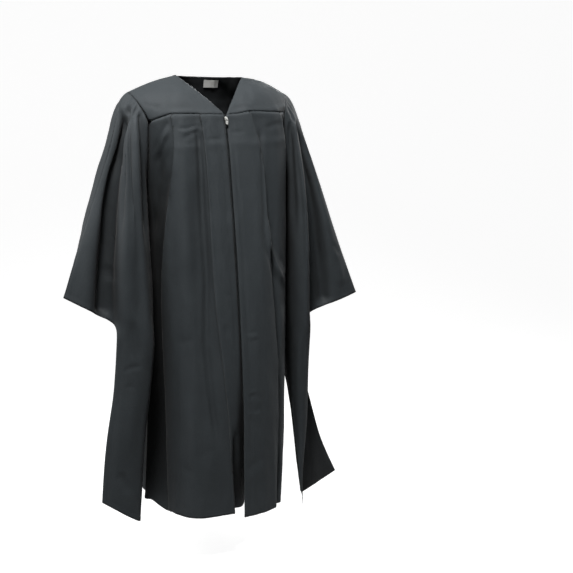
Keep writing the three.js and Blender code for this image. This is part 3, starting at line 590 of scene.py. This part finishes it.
def back_gathers():
    """The back's fullness, drawn up small under its yoke."""
    out = []
    for k in range(23):
        x = -154 + 14 * k
        fall = 70 + 45 * math.sin(2.3 * k) + 30 * math.cos(1.1 * k)
        way = [(x, -112), (x * 1.03, -112 - fall / 2), (x * 1.06, -112 - fall)]
        out.append((way, -3.4, 3.6, 0.0, 0.7))
    return out


CREASES["back"] += back_gathers()


def crease(at, way, depth, width, fade_in, fade_out):
    """How far a crease moves each point, in mm. The points are in mm."""
    steps = np.array(way, float)
    lengths = np.linalg.norm(np.diff(steps, axis=0), axis=1)
    whole = lengths.sum()
    near = np.full(len(at), 1e9)
    share = np.zeros(len(at))
    done = 0.0
    for a, b, length in zip(steps, steps[1:], lengths):
        t = np.clip(((at - a) @ (b - a)) / length**2, 0, 1)
        far = np.linalg.norm(at - (a + t[:, None] * (b - a)), axis=1)
        closer = far < near
        near = np.where(closer, far, near)
        share = np.where(closer, (done + t * length) / whole, share)
        done += length
    fade = np.ones(len(at))
    if fade_in:
        fade *= np.clip(share / fade_in, 0, 1)
    if fade_out:
        fade *= np.clip((1 - share) / fade_out, 0, 1)
    fade = fade * fade * (3 - 2 * fade)
    return depth * fade * np.exp(-((near / width) ** 2))


def waver(at, seed):
    """How far hanging cloth's slight unevenness moves each point, in mm. The points are in mm.

    Its waves are narrow and long, 24 by 190 mm, with smaller ones of 13 by 40 mm on them.
    """
    out = np.zeros(len(at))
    for i, (x, y, z) in enumerate(at):
        long = noise.noise((x / 24 + seed, y / 24, z / 190))
        short = noise.noise((x / 13, y / 13 + seed, z / 40))
        out[i] = 1.6 * long + 0.55 * short
    return out


HELD_BY_SEAM = 9  # mm beside a seam over which it holds the cloth still, so that creases start there
FREE_OF_SEAM = 25  # mm from a seam at which the cloth hangs as unevenly as anywhere
# The cloth sinks into a seam and rolls up beside it, and does so less at a hem's stitches: how far it
# stands out, how far from the edge, and the half width, in mm.
SEAM_SUNK = (-1.1, 0, 2.6)
SEAM_ROLL = (0.5, 7, 4)
HEM_SUNK = (-0.5, 15, 2.6)
HEM_ROLL = (0.35, 6, 5)


def dress(name, piece, seams, free):
    """Gives a sheet its creases, its sunk seams and its turned hem."""
    mesh = piece.data
    at = points_of(mesh)
    facing = normals_of(mesh) @ np.array(CLOTH[name][0])
    seen = np.clip((facing + 0.1) / 0.5, 0, 1)  # creases fade out where the cloth turns away
    flat = at[:, [0, 2]] / MM
    seam = nearest(mesh, seams, at) / MM
    edge = nearest(mesh, free, at) / MM
    from_seam = np.clip(seam / HELD_BY_SEAM, 0, 1)
    out = waver(at / MM, len(name)) * np.clip(seam / FREE_OF_SEAM, 0.15, 1)
    for one in CREASES.get(name, []):
        out += seen * from_seam * crease(flat, *one)
    for distance, lines in ((seam, (SEAM_SUNK, SEAM_ROLL)), (edge, (HEM_SUNK, HEM_ROLL))):
        for depth, place, width in lines:
            out += depth * np.exp(-(((distance - place) / width) ** 2))
    set_points(mesh, at + normals_of(mesh) * out[:, None] * MM)


def thicken(piece, thick):
    """Gives a sheet its thickness, inwards from its outer face."""
    solid = piece.modifiers.new("thickness", "SOLIDIFY")
    solid.thickness = thick
    solid.offset = -1
    return solid


def hand_over(piece, node):
    """The piece rides on the gown in place of a CAD node."""
    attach(piece, "gown")
    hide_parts(node)


SHELLS = {}
for name, (outside, *_) in CLOTH.items():
    SHELLS[name] = outer_skin(name, outside)
    lay_flat(SHELLS[name])
    refine(SHELLS[name], CELL)
SEAMS, FREE = sew(SHELLS)
for name, piece in SHELLS.items():
    dress(name, piece, SEAMS[name], FREE[name])
    piece.data.materials.clear()
    piece.data.materials.append(GOWN_CLOTH)
    # The inner skin gets the darker copy of the cloth, painted shade for the gown's inside.
    piece.data.materials.append(GOWN_INSIDE_SHADED)
    thicken(piece, THICK).material_offset = 1
    hand_over(piece, name)


# ---------------------------------------------------------------- zip and label


def tooth(bm, middle):
    """Adds one tooth of the zip: a small block, a little narrower in front."""
    verts = bmesh.ops.create_cube(bm, size=2)["verts"]
    bmesh.ops.scale(bm, verts=verts, vec=TOOTH_HALF)
    front = [v for v in verts if v.co.y < 0]
    bmesh.ops.scale(bm, verts=front, vec=(TOOTH_TAPER, 1, TOOTH_TAPER))
    bmesh.ops.translate(bm, verts=verts, vec=middle)


def zip_teeth(tape):
    """The row of teeth, left and right in turn, down the raised middle of the tape."""
    ridge = sorted((p for p in points_of(tape.data) if abs(p[0]) < RIDGE), key=lambda p: p[2])
    ridge_z = np.array([p[2] for p in ridge])
    ridge_y = np.array([p[1] for p in ridge])
    bm = bmesh.new()
    for k in range(int((ridge_z[-1] - ridge_z[0]) / TOOTH_PITCH)):
        z = ridge_z[0] + k * TOOTH_PITCH
        y = float(np.interp(z, ridge_z, ridge_y)) - TOOTH_RISE
        tooth(bm, (TOOTH_ASIDE if k % 2 else -TOOTH_ASIDE, y, z))
    mesh = bpy.data.meshes.new("zip_teeth")
    bm.to_mesh(mesh)
    bm.free()
    mesh.materials.append(TEETH_NYLON)
    teeth = bpy.data.objects.new("zip_teeth", mesh)
    bpy.context.scene.collection.objects.link(teeth)
    return teeth


def moulded_material(name, dark, light, roughness, metallic):
    """A smooth moulded or painted surface with a faint orange peel."""
    material, tree, shader = blank_material(name)
    place = add_node(tree, "ShaderNodeTexCoord")
    grain = add_node(
        tree,
        "ShaderNodeTexNoise",
        {"Vector": place.outputs["Object"]},
        Scale=repeats(1.111),
        Detail=2.0,
    )
    ramp = add_node(tree, "ShaderNodeValToRGB", {"Fac": grain.outputs["Fac"]})
    ramp.color_ramp.elements[0].color = linear(dark)
    ramp.color_ramp.elements[1].color = linear(light)
    bump = add_node(
        tree, "ShaderNodeBump", {"Height": grain.outputs["Fac"]}, Strength=0.3, Distance=0.0001
    )
    tree.links.new(ramp.outputs["Color"], shader.inputs["Base Color"])
    tree.links.new(bump.outputs["Normal"], shader.inputs["Normal"])
    shader.inputs["Roughness"].default_value = roughness
    shader.inputs["Metallic"].default_value = metallic
    return material


TOOTH_PITCH = 1.5 * MM
TOOTH_HALF = (1.5 * MM, 0.55 * MM, 0.55 * MM)  # half its width, depth and height
TOOTH_TAPER = 0.75  # its front's size to its back's
TOOTH_ASIDE = 0.7 * MM  # from the middle of the chain
TOOTH_RISE = 0.3 * MM  # above the tape
RIDGE = 2 * MM  # half the width of the tape's raised middle
TAPE_THICK = 0.8 * MM
LABEL_THICK = 0.4 * MM

# Woven polyester tape, a little coarser and darker than the gown's cloth.
# Its recesses get the same painted shade as the gown's cloth.
TAPE_CLOTH = cloth_material("charcoal_zip_tape", "#202426", "#272B2D", 0.0006)
# Moulded nylon, half glossy, dyed to match the tape.
TEETH_NYLON = moulded_material("charcoal_nylon_teeth", "#2A2E30", "#34383A", 0.4, 0.0)
# Die-cast zinc under off-white paint, glossy enough for small highlights.
ZIP_PAINT = moulded_material("off_white_painted_zinc", "#C9CAC6", "#DEDFDB", 0.35, 0.2)
# Blank white woven satin, nearly smooth, and given none of the painted fold shade where the yoke stands
# over it.
LABEL_SATIN = cloth_material("white_label_satin", "#F0F0EC", "#FAFAF6", 0.0004, 0.00005, 1.0)

tape = outer_skin("zip_tape", FRONT)
lay_flat(tape)
tape.data.materials.append(TAPE_CLOTH)
thicken(tape, TAPE_THICK)
hand_over(tape, "zip_tape")

teeth = zip_teeth(tape)
hand_over(teeth, "zip_tape")

for name in ("zip_slider", "pull_tab"):
    for own_slot in NODES[name].material_slots:
        own_slot.material = ZIP_PAINT

label = outer_skin("label", FRONT)
lay_flat(label)
label.data.materials.append(LABEL_SATIN)
thicken(label, LABEL_THICK)
hand_over(label, "label")


# ---------------------------------------------------------------- stage and light


FLOOR = -1.3  # its height, below the tails
FLOOR_HALF = 7  # half its width
FLOOR_FRONT = -4
WALL_FOOT = 1.6  # where the floor starts to curve up, behind the gown
COVE = 1.2  # radius of that curve
WALL_TOP = 4


def make_stage():
    """A pale floor that curves up into a pale wall."""
    profile = [(FLOOR_FRONT, FLOOR), (WALL_FOOT, FLOOR)]
    for k in range(1, 13):
        a = k / 12 * math.pi / 2
        profile.append((WALL_FOOT + COVE * math.sin(a), FLOOR + COVE * (1 - math.cos(a))))
    profile.append((WALL_FOOT + COVE, WALL_TOP))
    bm = bmesh.new()
    line = [bm.verts.new((-FLOOR_HALF, y, z)) for y, z in profile]
    edges = [bm.edges.new(pair) for pair in zip(line, line[1:])]
    swept = bmesh.ops.extrude_edge_only(bm, edges=edges)["geom"]
    far = [v for v in swept if isinstance(v, bmesh.types.BMVert)]
    bmesh.ops.translate(bm, verts=far, vec=(2 * FLOOR_HALF, 0, 0))
    mesh = bpy.data.meshes.new("floor")
    bm.to_mesh(mesh)
    bm.free()
    for face in mesh.polygons:
        face.use_smooth = True
    floor = bpy.data.objects.new("floor", mesh)
    bpy.context.scene.collection.objects.link(floor)
    # Matte painted board, evenly lit: it looks almost white and throws little light back.
    material, tree, shader = blank_material("pale_floor")
    shader.inputs["Base Color"].default_value = linear("#A8A8A8")
    shader.inputs["Roughness"].default_value = 0.9
    seen = add_node(tree, "ShaderNodeLightPath")  # it lights nothing but the picture
    glow = add_node(tree, "ShaderNodeMath", {0: seen.outputs["Is Camera Ray"]}, operation="MULTIPLY")
    glow.inputs[1].default_value = 0.95
    shader.inputs["Emission Color"].default_value = (1, 1, 1, 1)
    tree.links.new(glow.outputs[0], shader.inputs["Emission Strength"])
    mesh.materials.append(material)


def soft_light(name, place, target, size, power, spread=180):
    """A round soft light: its size in metres, its power in watts and its spread in degrees."""
    data = bpy.data.lights.new(name, "AREA")
    data.shape = "DISK"
    data.size = size
    data.energy = power
    data.spread = math.radians(spread)
    light = bpy.data.objects.new(name, data)
    light.location = place
    way = Vector(target) - Vector(place)
    light.rotation_euler = way.to_track_quat("-Z", "Y").to_euler()
    bpy.context.scene.collection.objects.link(light)


make_stage()
soft_light("key", (-0.75, -1.15, 2.3), (-0.02, -0.1, -0.3), 0.6, 16.5, 62)
soft_light("fill", (-0.6, -3.0, 0.2), (0, 0, -0.4), 1.2, 2.2)
soft_light("back", (1.2, 2.7, 0.9), (0, 0, -0.6), 1.2, 14, 60)
soft_light("left_side", (2.9, 0.9, 0.9), (0, 0, -0.5), 1.0, 7, 70)
soft_light("right_side", (-2.9, 0.9, 0.9), (0, 0, -0.5), 1.0, 7, 70)
world = bpy.data.worlds.new("studio")  # white where it is seen, though it lights little
world.use_nodes = True
tree = world.node_tree
direct = add_node(tree, "ShaderNodeLightPath")
strength = add_node(tree, "ShaderNodeMapRange", {"Value": direct.outputs["Is Camera Ray"]})
strength.inputs["To Min"].default_value = 0.02
tree.nodes["Background"].inputs["Color"].default_value = linear("#FAFBFC")
tree.links.new(strength.outputs["Result"], tree.nodes["Background"].inputs["Strength"])
bpy.context.scene.world = world
bpy.context.scene.view_settings.view_transform = "Standard"
